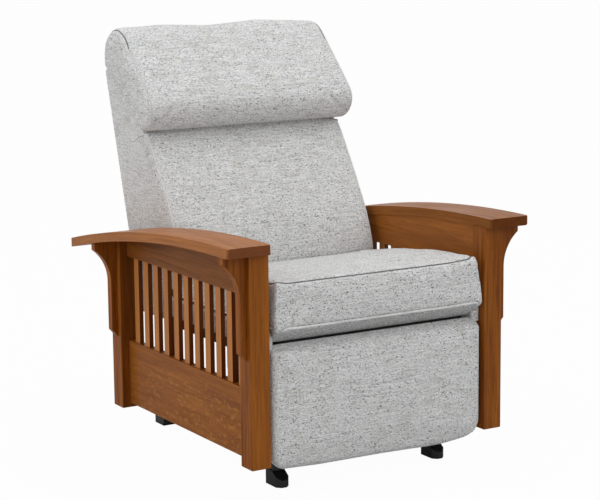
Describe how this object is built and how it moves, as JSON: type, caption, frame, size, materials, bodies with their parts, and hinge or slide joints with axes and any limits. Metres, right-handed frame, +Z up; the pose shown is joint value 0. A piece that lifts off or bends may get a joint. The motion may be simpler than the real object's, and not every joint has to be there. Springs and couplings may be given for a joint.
{
  "type": "mission reclining armchair",
  "caption": "Mission style armchair with slatted bow-arm oak sides, loose-look padded seat, back and head pillow, reclining back, forward glide and raising footrest.",
  "frame": {"origin": "bottom centre of the bounding box at rest, on the floor under the chair", "axes": "+Z up, -Y to the front where the footrest is, +X to the right seen from the front"},
  "size_m": [0.88, 0.94, 1.107],
  "materials": {
    "oak": "satin lacquer over orange-brown stained oak",
    "fabric": "light grey tweed weave with dark and tan slubs",
    "plywood": "bare plywood",
    "dark_steel": "black powder coat",
    "zinc_steel": "zinc plated",
    "spring_wire": "oiled spring wire",
    "black_plastic": "satin moulded plastic",
    "white_nylon": "natural nylon"
  },
  "bodies": {
    "base": {"base_channel_left": "dark_steel", "base_channel_right": "dark_steel", "front_foot_left": "black_plastic", "front_foot_right": "black_plastic", "rear_foot_left": "black_plastic", "rear_foot_right": "black_plastic", "base_cross_tubes": "dark_steel"},
    "carriage": {"arm_left": "oak", "arm_right": "oak", "front_post_left": "oak", "front_post_right": "oak", "rear_post_left": "oak", "rear_post_right": "oak", "lower_rail_left": "oak", "lower_rail_right": "oak", "upper_rail_left": "oak", "upper_rail_right": "oak", "slats_left": "oak", "slats_right": "oak", "front_corbel_left": "oak", "front_corbel_right": "oak", "rear_corbel_left": "oak", "rear_corbel_right": "oak", "seat_side_rail_left": "fabric", "seat_side_rail_right": "fabric", "seat_front_rail": "fabric", "seat_rear_rail": "plywood", "seat_springs": "spring_wire", "seat_cushion": "fabric", "mechanism_plate_left": "dark_steel", "mechanism_plate_right": "dark_steel", "plate_pins": "zinc_steel", "hangers": "dark_steel", "glide_blocks": "white_nylon"},
    "back": {"back_cushion": "fabric", "head_pillow": "fabric", "back_shell": "fabric", "back_stile_left": "plywood", "back_stile_right": "plywood", "back_cross_rails": "plywood", "back_springs": "spring_wire", "recline_bracket_left": "dark_steel", "recline_bracket_right": "dark_steel"},
    "rear_links": {"rear_link_left": "dark_steel", "rear_link_right": "dark_steel", "drive_tube": "dark_steel", "rear_link_rivets": "zinc_steel"},
    "outer_links": {"outer_link_left": "dark_steel", "outer_link_right": "dark_steel"},
    "front_links": {"front_link_left": "dark_steel", "front_link_right": "dark_steel", "front_link_rivets": "zinc_steel"},
    "inner_links": {"inner_link_left": "dark_steel", "inner_link_right": "dark_steel"},
    "footrest": {"footrest_pad": "fabric", "footrest_board": "plywood", "footrest_bracket_left": "dark_steel", "footrest_bracket_right": "dark_steel", "bracket_rivets": "zinc_steel"}
  },
  "joints": [
    {"name": "seat_glide", "type": "slide", "parent": "base", "child": "carriage", "axis": [0, -1, 0], "range_m": [0, 0.10001]},
    {"name": "back_recline", "type": "hinge", "parent": "carriage", "child": "back", "pos_m": [0, 0.09, 0.38], "axis": [-1, 0, 0], "range_deg": [0, 30]},
    {"name": "footrest_extend", "type": "hinge", "parent": "carriage", "child": "rear_links", "pos_m": [0, -0.21618, 0.2834], "axis": [-1, 0, 0], "range_deg": [0, 45.95]},
    {"name": "outer_link_unfold", "type": "hinge", "parent": "rear_links", "child": "outer_links", "pos_m": [0, -0.33458, 0.14125], "axis": [-1, 0, 0], "range_deg": [-91.92, 0]},
    {"name": "footrest_tilt", "type": "hinge", "parent": "outer_links", "child": "footrest", "pos_m": [0, -0.374, 0.322], "axis": [-1, 0, 0], "range_deg": [0, 135.96]},
    {"name": "front_link_swing", "type": "hinge", "parent": "carriage", "child": "front_links", "pos_m": [0, -0.33147, 0.31161], "axis": [-1, 0, 0], "range_deg": [0, 76.44]},
    {"name": "inner_link_unfold", "type": "hinge", "parent": "front_links", "child": "inner_links", "pos_m": [0, -0.35744, 0.10963], "axis": [-1, 0, 0], "range_deg": [-123.03, 0]}
  ],
  "couplings": [
    {"joint": "seat_glide", "follows": "back_recline", "m_per_rad": 0.19099},
    {"joint": "outer_link_unfold", "follows": "footrest_extend", "ratio": -2},
    {"joint": "footrest_tilt", "follows": "footrest_extend", "ratio": 2.9585},
    {"joint": "front_link_swing", "follows": "footrest_extend", "ratio": 1.6632},
    {"joint": "inner_link_unfold", "follows": "footrest_extend", "ratio": -2.6771}
  ]
}
